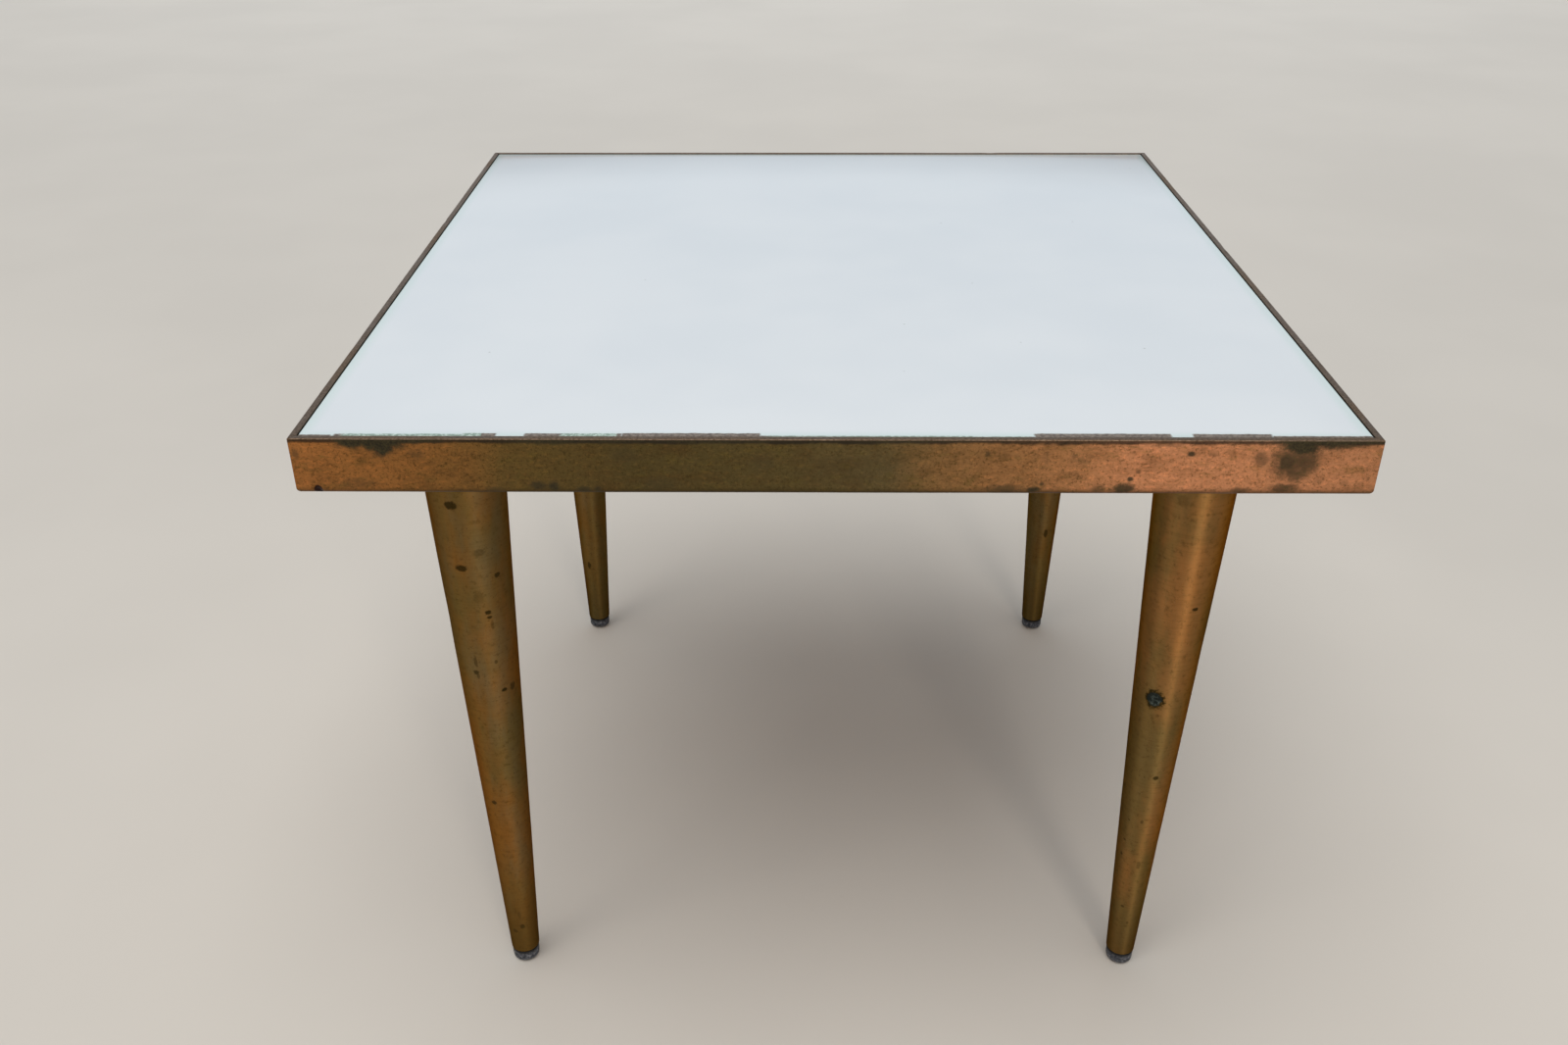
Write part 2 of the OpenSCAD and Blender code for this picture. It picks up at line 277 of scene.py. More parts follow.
def aged_brass_band(name, axis, reflected_tones, stains, nicks, seed):
    """Rolled brass strip left unlacquered, with a painted reflection laid along its length: copper
    brown where a warm floor is mirrored and dark olive where a dark shadow is. Over that, clouds of
    browner metal and olive bruises, flecked all over, with soft olive-black runs from the glass's
    edge."""
    finish, tree, where = new_material(name)
    apart = add(tree, "SeparateXYZ", [where], EVERY)
    # Painted reflection along the band: copper tones where a warm floor is mirrored, dark olive where
    # a dark shadow is, set out with a little drift
    drift = grain(tree, where, 40 * MM, detail=3, seed=seed)
    along = unsettled(tree, apart[axis], drift, 50 * MM)
    run = add(tree, "MapRange", (along, -HALF, HALF))
    places = [((at * MM + HALF) / (2 * HALF), code) for at, code in reflected_tones]
    colour = add(tree, "ValToRGB", [run], stops=places)
    # Clouds of browner metal, olive bruises, then flecks down to half a millimetre
    cloud = grain(tree, where, 12 * MM, detail=6, rough=0.66, stretch=(0.8, 0.8, 1.6), seed=seed + 1)
    colour = coat(tree, colour, "#4E3A1F", cloud, 0.42, 0.72, 0.5)
    bruise = grain(tree, where, 6 * MM, detail=5, rough=0.7, stretch=(0.6, 0.6, 1.5), seed=seed + 5)
    colour = coat(tree, colour, "#5E5128", bruise, 0.52, 0.7, 0.45)
    fleck = grain(tree, where, 1.2 * MM, detail=6, rough=0.85, seed=seed + 2)
    colour = coat(tree, colour, "#33280F", fleck, 0.49, 0.64, 0.68)
    bright = grain(tree, where, 2.2 * MM, detail=5, rough=0.8, stretch=(0.7, 0.7, 1.3), seed=seed + 3)
    rubbed = add(tree, "Mix", {0: 1, 6: colour, 7: (1.5, 1.36, 1.28, 1)}, 2, data_type="RGBA",
                 blend_type="MULTIPLY")
    colour = coat(tree, colour, rubbed, bright, 0.48, 0.66, 0.8)
    # Darker along both edges: a band over the roll at the bottom and a line under the rim
    level = unsettled(tree, apart[2], cloud, 3.2 * MM)
    colour = coat(tree, colour, "#3D3019", level, BAND_Z + 3.6 * MM, BAND_Z + 0.4 * MM, 0.75)
    colour = coat(tree, colour, "#27241F", level, RIM_Z - 2.6 * MM, RIM_Z - 1.2 * MM, 0.85)
    # Stains: ragged ovals, runs and blots, and the dark red-brown of deep nicks
    tear = grain(tree, where, 4.5 * MM, detail=6, rough=0.75, seed=seed + 4)
    ragged = unsettled(tree, 0, tear, 1.5)
    marks = []
    for group, edge in ((stains, 0.5), (nicks, 0.25)):
        masks = []
        for at, height, wide, tall, strength in group:
            spot = [0, 0, BAND_Z + height * MM]
            spot[axis] = at * MM
            half = [1, 1, tall * MM]
            half[axis] = wide * MM
            masks.append(blot(tree, where, spot, half, ragged if group is stains else 0, strength,
                              edge))
        marks.append(most(tree, masks))
    dark = coat(tree, "#221E12", "#423A22", fleck, 0.35, 0.65)
    colour = coat(tree, colour, dark, marks[0], 0, 1)
    colour = coat(tree, colour, "#2B1711", marks[1], 0, 1)
    # The lip seen from above is duller, with brown crumbs of old putty
    dull = coat(tree, "#8A7562", "#594636", fleck, 0.4, 0.62)
    colour = coat(tree, colour, dull, apart[2], RIM_Z - 0.55 * MM, RIM_Z - 0.25 * MM, 0.85)
    surface(tree, colour, worn_to(tree, cloud, 0.38, 0.54, marks[0], 0.2), fleck, bump=0.35,
            depth=0.12 * MM, Metallic=add(tree, "MapRange", (marks[0], 0, 1, 0.94, 0.7)))
    return finish


def spun_brass(name, spots, warm, polish, seed):
    """Brass tube spun to a taper and satin lacquered: brown gold whose fine turning marks draw
    the light out into streaks down the leg, browner where it has been handled, with corroded
    spots where the lacquer has failed."""
    finish, tree, where = new_material(name)
    z = add(tree, "SeparateXYZ", [where], "Z")
    cloud = grain(tree, where, 30 * MM, detail=4, rough=0.6, stretch=(1, 1, 0.4), seed=seed)
    colour = coat(tree, warm, "#6E6038", cloud, 0.35, 0.65, 0.8)
    # A grey bloom where the lacquer is tired
    bloom = grain(tree, where, 22 * MM, detail=5, rough=0.65, stretch=(1, 1, 0.25), seed=seed + 6)
    colour = coat(tree, colour, "#77694C", bloom, 0.42, 0.66, 0.75 - 0.6 * polish)
    # Turning marks, drawn a millimetre apart so that they show
    marks = grain(tree, where, 1.0 * MM, detail=3, stretch=(0.06, 0.06, 1), seed=seed + 1)
    colour = coat(tree, colour, "#493716", marks, 0.4, 0.7, 0.14)
    mottle = grain(tree, where, 2.6 * MM, detail=6, rough=0.75, seed=seed + 2)
    colour = coat(tree, colour, "#3F3014", mottle, 0.5, 0.7, 0.45)
    dust = grain(tree, where, 0.9 * MM, detail=3, rough=0.7, seed=seed + 3)
    colour = coat(tree, colour, "#8C7A58", dust, 0.6, 0.72, 0.3)
    # Tarnish gathers towards the foot; under the top the sleeve is darkened by painted shade from the
    # band's overhang
    settled = add(tree, "Math", (cloud, 90 * MM, z), operation="MULTIPLY_ADD")
    colour = coat(tree, colour, "#4F4524", settled, 125 * MM, 45 * MM, 0.6)
    # Painted shade under the band's overhang
    colour = coat(tree, colour, "#33260F", z, LEG_TOP_Z - 16 * MM, LEG_TOP_Z, 0.4)
    tear = grain(tree, where, 2.2 * MM, detail=4, rough=0.75, seed=seed + 4)
    ragged = unsettled(tree, 0, tear, 1.5)
    stains, crusts = [], []
    for turn, height, wide, tall, strength in spots:
        angle = math.radians(turn)
        r = taper(height * MM)
        spot = (r * math.sin(angle), -r * math.cos(angle), height * MM)
        half = [wide * MM, wide * MM, tall * MM]
        stains.append(blot(tree, where, spot, half, ragged, strength, 0.35))
        if wide > CRUST_FROM:
            crusts.append(blot(tree, where, spot, [h * 0.72 for h in half], ragged, 1, 0.2))
    stained = most(tree, stains)
    colour = coat(tree, colour, "#2B2208", stained, 0, 1)
    if crusts:
        scab = coat(tree, "#242A29", "#5E6864", tear, 0.44, 0.64)
        colour = coat(tree, colour, scab, most(tree, crusts), 0, 1)
    height = add(tree, "Math", (marks, 0.6, mottle), operation="MULTIPLY_ADD")
    matt = worn_to(tree, cloud, 0.62 - 0.2 * polish, 0.72 - 0.2 * polish, stained, 0.2)
    surface(tree, colour, matt, height, bump=0.12, depth=0.06 * MM,
            Metallic=add(tree, "MapRange", (stained, 0, 1, 1, 0.7)),
            Anisotropic=0.35 + 0.4 * polish, Anisotropic_Rotation=0.25,
            Specular_Tint="#96875A",
            Tangent=add(tree, "Tangent", direction_type="RADIAL", axis="Z"))
    return finish


def pressed_steel_glide(name, seed):
    """Steel cup pressed over a nail and worn by floors: dull blue-grey, like lead, with paler
    flecks, a painted shadow ring under the brass and a rubbed foot."""
    finish, tree, where = new_material(name)
    z = add(tree, "SeparateXYZ", [where], "Z")
    lumps = grain(tree, where, 2.0 * MM, detail=5, rough=0.75, seed=seed)
    stops = [(0.36, "#2C2E34"), (0.5, "#50535C"), (0.68, "#92949B")]
    colour = add(tree, "ValToRGB", [lumps], stops=stops)
    level = unsettled(tree, z, lumps, 3 * MM)
    # Painted shadow: a dark ring round the cup's top, under the brass sleeve
    colour = coat(tree, colour, "#1E1D1A", level, FOOT_Z - 3.4 * MM, FOOT_Z - 1 * MM, 0.9)
    colour = coat(tree, colour, "#A9A49E", level, 2.4 * MM, 1.4 * MM, 0.45)
    surface(tree, colour, worn_to(tree, lumps, 0.6, 0.42), lumps, bump=0.5, depth=0.25 * MM,
            Metallic=0.8)
    return finish


def fir_plywood():
    """Rotary-cut fir plywood, bare but for dust: broad wavy grain, and plies along the edge."""
    finish, tree, where = new_material("fir_plywood")
    x, y, z = add(tree, "SeparateXYZ", [where], EVERY)
    sway = grain(tree, where, 120 * MM, detail=2, stretch=(0.5, 1, 1))
    bent = add(tree, "Math", (sway, 95 * MM, y), operation="MULTIPLY_ADD")
    drawn = add(tree, "Math", (x, 0.03), operation="MULTIPLY")
    line = add(tree, "CombineXYZ", (drawn, bent, z))
    rings = grain(tree, line, 4.5 * MM, detail=5, rough=0.6, stretch=(1, 1, 0.02), seed=2)
    pores = grain(tree, where, 1.1 * MM, detail=3, stretch=(0.04, 1, 1), seed=4)
    stops = [(0.34, "#C49C6A"), (0.52, "#B78B58"), (0.68, "#94683E")]
    colour = add(tree, "ValToRGB", [rings], stops=stops)
    colour = coat(tree, colour, "#6F4A2A", pores, 0.5, 0.75, 0.5)
    dust = grain(tree, where, 60 * MM, detail=4, seed=6)
    colour = coat(tree, colour, "#6B5A48", dust, 0.45, 0.75, 0.4)
    # The plies show on the edge, which is told from the faces by the way the surface lies
    ply = add(tree, "TexWave", {0: where, "Scale": WAVE_BAND / (2 * PLY_T)}, bands_direction="Z")
    plies = coat(tree, "#B98F5E", "#7C5733", ply, 0, 1)
    upright = add(tree, "SeparateXYZ", [add(tree, "TexCoord", out="Normal")], "Z")
    upright = add(tree, "Math", [upright], operation="ABSOLUTE")
    colour = coat(tree, colour, plies, upright, 0.6, 0.3)
    surface(tree, colour, worn_to(tree, pores, 0.5, 0.7), pores, bump=0.3, depth=0.15 * MM, IOR=1.5)
    return finish


def turned_beech():
    """Turned beech, bare: pale brown with short darker flecks along the grain."""
    finish, tree, where = new_material("turned_beech")
    rings = grain(tree, where, 5 * MM, detail=3, stretch=(1, 1, 0.06))
    flecks = grain(tree, where, 1.2 * MM, detail=2, stretch=(1, 1, 0.12), seed=2)
    colour = coat(tree, "#B88D62", "#D3AD80", rings, 0.3, 0.7)
    colour = coat(tree, colour, "#7E5635", flecks, 0.58, 0.72, 0.6)
    surface(tree, colour, worn_to(tree, flecks, 0.5, 0.65), flecks, bump=0.2, IOR=1.5)
    return finish


def wool_felt():
    """Pressed wool felt: grey fibres lying every way, matt and slightly furry."""
    finish, tree, where = new_material("pressed_wool_felt")
    fibres = grain(tree, where, 0.8 * MM, detail=5, rough=0.8, stretch=(0.4, 1, 1))
    tufts = grain(tree, where, 5 * MM, detail=3, seed=2)
    colour = coat(tree, "#4A4A47", "#77766F", fibres, 0.3, 0.7)
    colour = coat(tree, colour, "#5C5B54", tufts, 0.4, 0.7, 0.4)
    surface(tree, colour, worn_to(tree, fibres, 0.85, 1), fibres, bump=0.6, Sheen_Weight=0.4,
            Sheen_Roughness=0.6)
    return finish


def small_hardware(name, light, deep, spoiled, seed):
    """Small metal parts, turned or pressed: satin with a faint cloud, and matt spots where the
    plating or the polish has gone."""
    finish, tree, where = new_material(name)
    cloud = grain(tree, where, 6 * MM, detail=4, rough=0.65, seed=seed)
    fine = grain(tree, where, 0.9 * MM, detail=4, rough=0.7, seed=seed + 1)
    colour = coat(tree, light, deep, cloud, 0.3, 0.7)
    spots = add(tree, "Math", (add(tree, "MapRange", (cloud, 0.56, 0.7)),
                               add(tree, "MapRange", (fine, 0.45, 0.6))), operation="MULTIPLY")
    colour = coat(tree, colour, spoiled, spots, 0, 1, 0.8)
    surface(tree, colour, worn_to(tree, fine, 0.28, 0.42, spots, 0.4), fine, bump=0.2,
            depth=0.06 * MM, Metallic=0.95)
    return finish


# Where the paint is lost along the glass's front edge: start, end and reach back, in millimetres
PAINT_LOST = ((-227, -211, 1.2), (-210, -156, 2.0), (-156, -142, 2.8), (-130, -89, 2.7),
              (-89, -31, 3.1), (-31, 58, 0.9), (58, 84, 0.5), (84, 141, 3.3), (150, 183, 3.2),
              (183, 225, 1.4))
# Lengths where that loss is pale: middle and half length
PUTTY_PALE = ((-181, 26), (-152, 4), (-103, 12), (27, 55))

# Painted reflection along each side of the band, copper where a warm floor is mirrored and dark olive
# where a dark shadow is: distance along it in millimetres, and the colour there
FRONT_REFLECTED_TONES = ((-228, "#A46D3C"), (-172, "#8C6033"), (-138, "#67522C"), (-91, "#524628"),
               (-20, "#564A2C"), (22, "#5D5033"), (45, "#7A5D3A"), (80, "#946A44"),
               (130, "#BA815C"), (228, "#AC7855"))
# Stains on each side: along, height above the bottom, half width, half height, strength
FRONT_STAINS = (
    (-193, 26.6, 20, 2.6, 0.9), (-190, 25, 10.5, 4.6, 1), (-189, 22, 5, 4.6, 1),
    (-202, 25, 7, 3.6, 0.95), (-178, 26, 14, 2.2, 0.9), (-175, 19, 3.4, 2.8, 0.35),
    (-203, 5, 8, 2.8, 0.35), (-226, 19, 1.6, 3, 0.5), (-118, 25.6, 15, 2, 0.8),
    (-92, 25.7, 12, 1.6, 0.7), (-88, 18.5, 7, 4, 0.3), (-74, 5, 8, 3, 0.35),
    (-144, 2.6, 4, 1.6, 0.4), (-125, 4, 4, 2.2, 0.7), (-118.5, 4, 2.4, 2.6, 0.8),
    (-106, 2.2, 3, 1.6, 0.6), (-100, 2.7, 1.6, 1.4, 0.6), (-30, 15, 5, 4, 0.3),
    (10, 12, 26, 8, 0.25), (-50, 25.2, 26, 1.3, 0.6), (34, 25.6, 30, 1, 0.6),
    (72.5, 2.8, 8, 2.4, 0.6), (84.5, 2.4, 3, 1.7, 0.85), (88, 5.4, 1, 1, 0.6),
    (112, 3.2, 3.2, 2.2, 0.5), (122.5, 3.2, 5, 2.4, 0.8), (125, 7.8, 1.4, 1.1, 0.8),
    (128, 11, 1.3, 0.9, 0.5), (64, 19.4, 1, 1.2, 0.6), (100.5, 18.4, 1.4, 1.2, 0.45),
    (103, 16.6, 5.5, 2, 0.3), (149, 19.6, 1.7, 1.2, 0.8), (158, 19.6, 2.6, 1.6, 0.35),
    (88.5, 17.3, 2, 3, 0.25), (138.5, 23.6, 6, 0.7, 0.4), (194, 24.6, 10, 6.4, 0.95),
    (207, 25.8, 16, 4.2, 0.9), (223, 26, 8, 2.2, 0.8), (193, 17, 10, 10, 0.72),
    (189.5, 15.5, 5, 4.4, 0.8), (198, 16.6, 4.4, 3.4, 0.7), (194, 11, 6, 5, 0.65),
    (178.5, 17.2, 3.4, 3.6, 0.55), (190, 3.4, 7.5, 2.4, 0.65), (171.5, 2.6, 5, 1.7, 0.6),
    (204, 6.6, 2, 1.8, 0.3), (215, 6, 2, 1.6, 0.3),
)
# The sides and the rear carry the same kind of painted reflection
SIDE_REFLECTED_TONES = ((-228, "#9A6B40"), (-150, "#86603A"), (-60, "#5E4D2C"), (30, "#6B5534"),
              (110, "#906842"), (228, "#84603A"))
SIDE_STAINS = ((-150, 25, 20, 3, 0.9), (-60, 2, 14, 2.6, 0.8), (40, 24.5, 26, 2.4, 0.8),
               (120, 12, 3, 9, 0.5), (180, 2, 12, 2.4, 0.8), (200, 25, 9, 3.4, 0.9),
               (-110, 17, 1.4, 1.2, 0.7), (75, 8, 2, 1.6, 0.6), (-190, 9, 3, 4, 0.4))
REAR_REFLECTED_TONES = ((-228, "#7E5E38"), (-120, "#62502E"), (0, "#554729"), (90, "#6E5635"),
              (228, "#8F6640"))
REAR_STAINS = ((-180, 25, 15, 4, 1), (-20, 25, 40, 2, 0.7), (70, 2, 12, 3, 0.8),
               (150, 18, 2.4, 7, 0.6), (205, 2, 10, 2.6, 0.9), (-95, 10, 2, 1.6, 0.6),
               (20, 14, 6, 4, 0.3))
NICKS = {"front": ((-219.2, 1.6, 1.9, 2.6, 1),), "rear": ((60, 0.8, 2, 1, 0.8),),
         "left": ((180, 0.6, 2, 1, 0.8),), "right": ((-150, 0.8, 2, 1, 0.8),)}

GLASS = back_painted_glass()
BANDS = {
    "front": aged_brass_band("aged_brass_front", 0, FRONT_REFLECTED_TONES, FRONT_STAINS, NICKS["front"], 1),
    "rear": aged_brass_band("aged_brass_rear", 0, REAR_REFLECTED_TONES, REAR_STAINS, NICKS["rear"], 11),
    "left": aged_brass_band("aged_brass_left", 1, SIDE_REFLECTED_TONES, SIDE_STAINS, NICKS["left"], 21),
    "right": aged_brass_band("aged_brass_right", 1, [(-a, c) for a, c in SIDE_REFLECTED_TONES[::-1]],
                             [(-s[0], *s[1:]) for s in SIDE_STAINS], NICKS["right"], 31),
}
# Spots on each leg: degrees round from the front, height, half width, half height, strength.
# One wider than CRUST_FROM has a grey-green scab in it
CRUST_FROM = 3.5
LEG_SPOTS = {
    "front_left": ((-11, 307, 3.1, 2.3, 0.75), (-8, 272.4, 3.1, 1.9, 0.75), (22, 280.6, 3, 1.9, 0.35),
                   (47, 265.6, 1.5, 1.5, 0.7), (12, 255.5, 2.4, 4, 0.3), (24, 246.2, 1.4, 1.2, 0.75),
                   (26, 243, 1.3, 0.9, 0.7), (29, 238.7, 0.9, 3, 0.35), (-9, 217, 0.9, 3.5, 0.5),
                   (-11, 210.5, 1.5, 1.5, 0.65), (-8, 208, 0.9, 1.7, 0.5), (28, 216, 0.9, 1.2, 0.5),
                   (38, 197.6, 1.4, 1.1, 0.8), (58, 197.3, 2, 2.2, 0.6), (27, 154.4, 1.2, 1.6, 0.3),
                   (-19, 123.3, 1.6, 1.6, 0.7), (-42, 112.4, 0.8, 0.8, 0.4), (4, 39.4, 1, 2.5, 0.35),
                   (11, 29.4, 1.4, 1.8, 0.6), (-20, 26, 1.6, 1.6, 0.5), (120, 210, 2.8, 2, 0.8),
                   (200, 120, 2, 4, 0.7)),
    "front_right": ((-29, 193.5, 4.9, 5.9, 1), (15, 249.7, 1.5, 1.1, 0.8), (1, 142.7, 1.5, 1.4, 0.75),
                    (-19, 183.8, 0.9, 1.4, 0.4), (-2, 173, 0.8, 0.8, 0.35), (-3, 79.7, 1.2, 3, 0.45),
                    (-31, 47, 1, 1, 0.55), (-14, 111.7, 0.9, 1.4, 0.45), (-31, 308.8, 2.9, 3, 0.3),
                    (6, 303, 0.9, 0.9, 0.35), (-55, 95, 0.9, 0.9, 0.6), (-60, 84, 0.8, 1.2, 0.6),
                    (-48, 110, 0.7, 0.7, 0.5), (-5, 35, 0.9, 1.2, 0.5), (130, 260, 2.4, 2, 0.8),
                    (220, 170, 2, 3, 0.7)),
    "rear_left": ((-20, 60, 1.5, 3, 0.7), (5, 240, 1.5, 1.2, 0.6), (90, 200, 2.5, 2, 0.7),
                  (180, 290, 2.2, 1.6, 0.8)),
    "rear_right": ((10, 90, 1.6, 4, 0.7), (-15, 270, 1.4, 1.1, 0.6), (-90, 250, 2.2, 1.8, 0.7),
                   (170, 140, 2.5, 3, 0.8)),
}
# How warm and how well kept each leg's lacquer is
LEG_LACQUER = {"front_left": ("#8B602F", 0.35), "front_right": ("#A06F3F", 0.95),
               "rear_left": ("#78562A", 0.6), "rear_right": ("#78562A", 0.6)}
LEGS = {c: spun_brass("spun_brass_" + c, LEG_SPOTS[c], *LEG_LACQUER[c], 5 + 9 * i)
        for i, c in enumerate(CORNERS)}
GLIDES = {c: pressed_steel_glide("pressed_steel_glide_" + c, 3 + 5 * i)
          for i, c in enumerate(CORNERS)}
PLYWOOD = fir_plywood()
BEECH = turned_beech()
FELT = wool_felt()
ZINC = small_hardware("zinc_plated_steel", "#B9BBB8", "#8E908F", "#6E4A30", 2)
BOLT_STEEL = small_hardware("turned_bolt_steel", "#A6A7A8", "#7B7C7E", "#5B4030", 8)
SCREW_BRASS = small_hardware("turned_screw_brass", "#C49A58", "#8E6C3A", "#4A3A1E", 14)


# ---- shapes ----

def rounded(corners, steps=5):
    """A closed outline from corners, each of them across, up and its radius."""
    outline = []
    for i, (across, up, radius) in enumerate(corners):
        corner = Vector((across, up))
        if radius <= 0:
            outline.append(corner)
            continue
        to_last = (Vector(corners[i - 1][:2]) - corner).normalized()
        to_next = (Vector(corners[(i + 1) % len(corners)][:2]) - corner).normalized()
        half = to_last.angle(to_next) / 2
        centre = corner + (to_last + to_next).normalized() * radius / math.sin(half)
        first = corner + to_last * radius / math.tan(half) - centre
        last = corner + to_next * radius / math.tan(half) - centre
        for k in range(steps + 1):
            outline.append(centre + first.slerp(last, k / steps) * first.length)
    return outline


def divided(outline, longest, closed=True):
    """The same outline with its long straight runs cut into steps."""
    points = []
    ends = outline[1:] + ([outline[0]] if closed else [])
    for start, end in zip(outline, ends):
        count = max(1, math.ceil((end - start).length / longest))
        points += [start.lerp(end, k / count) for k in range(count)]
    return points if closed else points + [outline[-1]]


def piece(name, bm, body, stands_for, finish, at=(0, 0, 0), sharp=38):
    """Makes the object, smooth but for edges sharper than sharp degrees, and rides it on body."""
    bmesh.ops.recalc_face_normals(bm, faces=bm.faces)
    for face in bm.faces:
        face.smooth = True
    for edge in bm.edges:
        edge.smooth = edge.calc_face_angle(math.pi) < math.radians(sharp)
    mesh = bpy.data.meshes.new(name)
    bm.to_mesh(mesh)
    bm.free()
    made = bpy.data.objects.new(name, mesh)
    bpy.context.scene.collection.objects.link(made)
    made.location = at
    mesh.materials.append(finish)
    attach(made, body)
    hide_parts(*stands_for)
    return made


def lathe(outline, segments, closed=False, radius_at=None):
    """Turns an outline of radius and height round the Z axis. radius_at may change each radius."""
    bm = bmesh.new()
    rings = []
    for radius, height in outline:
        if radius < 1e-7:
            rings.append([bm.verts.new((0, 0, height))])
            continue
        ring = []
        for k in range(segments):
            angle = math.tau * k / segments
            r = radius_at(radius, height, angle) if radius_at else radius
            ring.append(bm.verts.new((r * math.cos(angle), r * math.sin(angle), height)))
        rings.append(ring)
    for low, high in list(zip(rings, rings[1:])) + ([(rings[-1], rings[0])] if closed else []):
        for k in range(segments):
            corners = [low[k % len(low)], low[(k + 1) % len(low)],
                       high[(k + 1) % len(high)], high[k % len(high)]]
            bm.faces.new(dict.fromkeys(corners))
    return bm


def cut(bm, cutters):
    """The mesh with each cutter's solid taken out of it."""
    solids = []
    for i, source in enumerate([bm, *cutters]):
        mesh = bpy.data.meshes.new("solid_%d" % i)
        source.to_mesh(mesh)
        source.free()
        solid = bpy.data.objects.new("solid_%d" % i, mesh)
        bpy.context.scene.collection.objects.link(solid)
        solids.append(solid)
    for cutter in solids[1:]:
        modifier = solids[0].modifiers.new("cut", "BOOLEAN")
        modifier.operation = "DIFFERENCE"
        modifier.solver = "MANIFOLD"
        modifier.object = cutter
    shaped = solids[0].evaluated_get(bpy.context.evaluated_depsgraph_get())
    result = bmesh.new()
    result.from_mesh(shaped.to_mesh())
    for solid in solids:
        bpy.data.objects.remove(solid)
    return result


def moved(bm, offset=(0, 0, 0), turn=0.0):
    """The mesh turned about Z and then moved."""
    bmesh.ops.transform(bm, matrix=Matrix.Translation(offset) @ Matrix.Rotation(turn, 4, "Z"),
                        verts=bm.verts)
    return bm


def joined(meshes):
    """Several meshes as one, each of them a separate solid in it."""
    whole = bmesh.new()
    for bm in meshes:
        mesh = bpy.data.meshes.new("part")
        bm.to_mesh(mesh)
        bm.free()
        whole.from_mesh(mesh)
        bpy.data.meshes.remove(mesh)
    return whole


def skinned(rings):
    """A closed skin over closed rings of places, each ring joined to the next."""
    bm = bmesh.new()
    rings = [[bm.verts.new(place) for place in ring] for ring in rings]
    count = len(rings[0])
    for here, there in zip(rings, rings[1:]):
        for k in range(count):
            bm.faces.new((here[k], there[k], there[(k + 1) % count], here[(k + 1) % count]))
    bm.faces.new(rings[0])
    bm.faces.new(rings[-1][::-1])
    return bm


def wander(place, waves):
    """How far a surface lies out of true at a place."""
    return sum(deep * MM * noise.noise(place / (length * MM)) for deep, length in waves)


def box_solid(low, high):
    """A plain block between two corners."""
    bm = bmesh.new()
    bmesh.ops.create_cube(bm, size=1)
    low, high = Vector(low), Vector(high)
    bmesh.ops.scale(bm, vec=high - low, verts=bm.verts)
    bmesh.ops.translate(bm, vec=(low + high) / 2, verts=bm.verts)
    return bm


def bevelled(bm, width, segments=2, sharp=60):
    """Rounds every edge sharper than sharp degrees."""
    edges = [e for e in bm.edges if e.calc_face_angle(0) > math.radians(sharp)]
    bmesh.ops.bevel(bm, geom=edges, offset=width, segments=segments, profile=0.5,
                    affect="EDGES", clamp_overlap=True)
    return bm


def circle(radius, steps, centre=(0, 0)):
    """A circle as a closed loop of points."""
    return [(centre[0] + radius * math.cos(math.tau * k / steps),
             centre[1] + radius * math.sin(math.tau * k / steps)) for k in range(steps)]


def square_of(pitch):
    """The four corners of a square round the origin."""
    return [(x * pitch, y * pitch) for x in (-1, 1) for y in (-1, 1)]


# ---- glass and felt ----

def make_glass():
    """A slab with its ground edges rounded off."""
    bm = bevelled(box_solid(glass_low, glass_high), GLASS_EDGE, segments=4)
    piece("glass_pane", bm, "top", ["glass_top"], GLASS, sharp=30)


def make_felt():
    """Felt with edges that the scissors left uneven."""
    low, high = Vector(felt_low), Vector(felt_high)
    steps = 60
    bm = bmesh.new()
    rows = []
    for level in (low.z, high.z):
        for j in range(steps + 1):
            for i in range(steps + 1):
                x = low.x + (high.x - low.x) * i / steps
                y = low.y + (high.y - low.y) * j / steps
                frayed = FRAY * (1 + noise.noise(Vector((x, y, 0)) / FRAY_LENGTH))
                x -= math.copysign(frayed, x) if i in (0, steps) else 0
                y -= math.copysign(frayed, y) if j in (0, steps) else 0
                rows.append(bm.verts.new((x, y, level)))
    count = (steps + 1) ** 2

    def at(level, i, j):
        return rows[level * count + j * (steps + 1) + i]

    for level in (0, 1):
        for j in range(steps):
            for i in range(steps):
                bm.faces.new((at(level, i, j), at(level, i + 1, j), at(level, i + 1, j + 1),
                              at(level, i, j + 1)))
    border = [(i, 0) for i in range(steps)] + [(steps, j) for j in range(steps)]
    border += [(i, steps) for i in range(steps, 0, -1)] + [(0, j) for j in range(steps, 0, -1)]
    for (i, j), (k, m) in zip(border, border[1:] + border[:1]):
        bm.faces.new((at(0, i, j), at(0, k, m), at(1, k, m), at(1, i, j)))
    felt = piece("felt_sheet", bm, "top", ["felt_bed"], FELT)


# ---- brass band ----

# Knocks in each side's face: along, height above the band's bottom, radius, depth, in millimetres
KNOCKS = {
    "front": ((-219.2, 1.4, 1.5, 1.1), (-168, 25, 5, 0.18), (38, 26, 3.5, 0.15), (92, 0.5, 4, 0.2),
              (140, 13, 12, 0.12), (-60, 10, 16, 0.12), (206, 1, 3, 0.2)),
    "rear": ((-120, 26, 4, 0.25), (60, 1, 3, 0.3), (170, 14, 12, 0.15)),
    "left": ((-70, 26, 4, 0.2), (120, 12, 14, 0.15), (180, 0, 2.5, 0.3)),
    "right": ((-150, 1, 3, 0.25), (20, 26, 5, 0.2), (140, 15, 12, 0.12)),
}


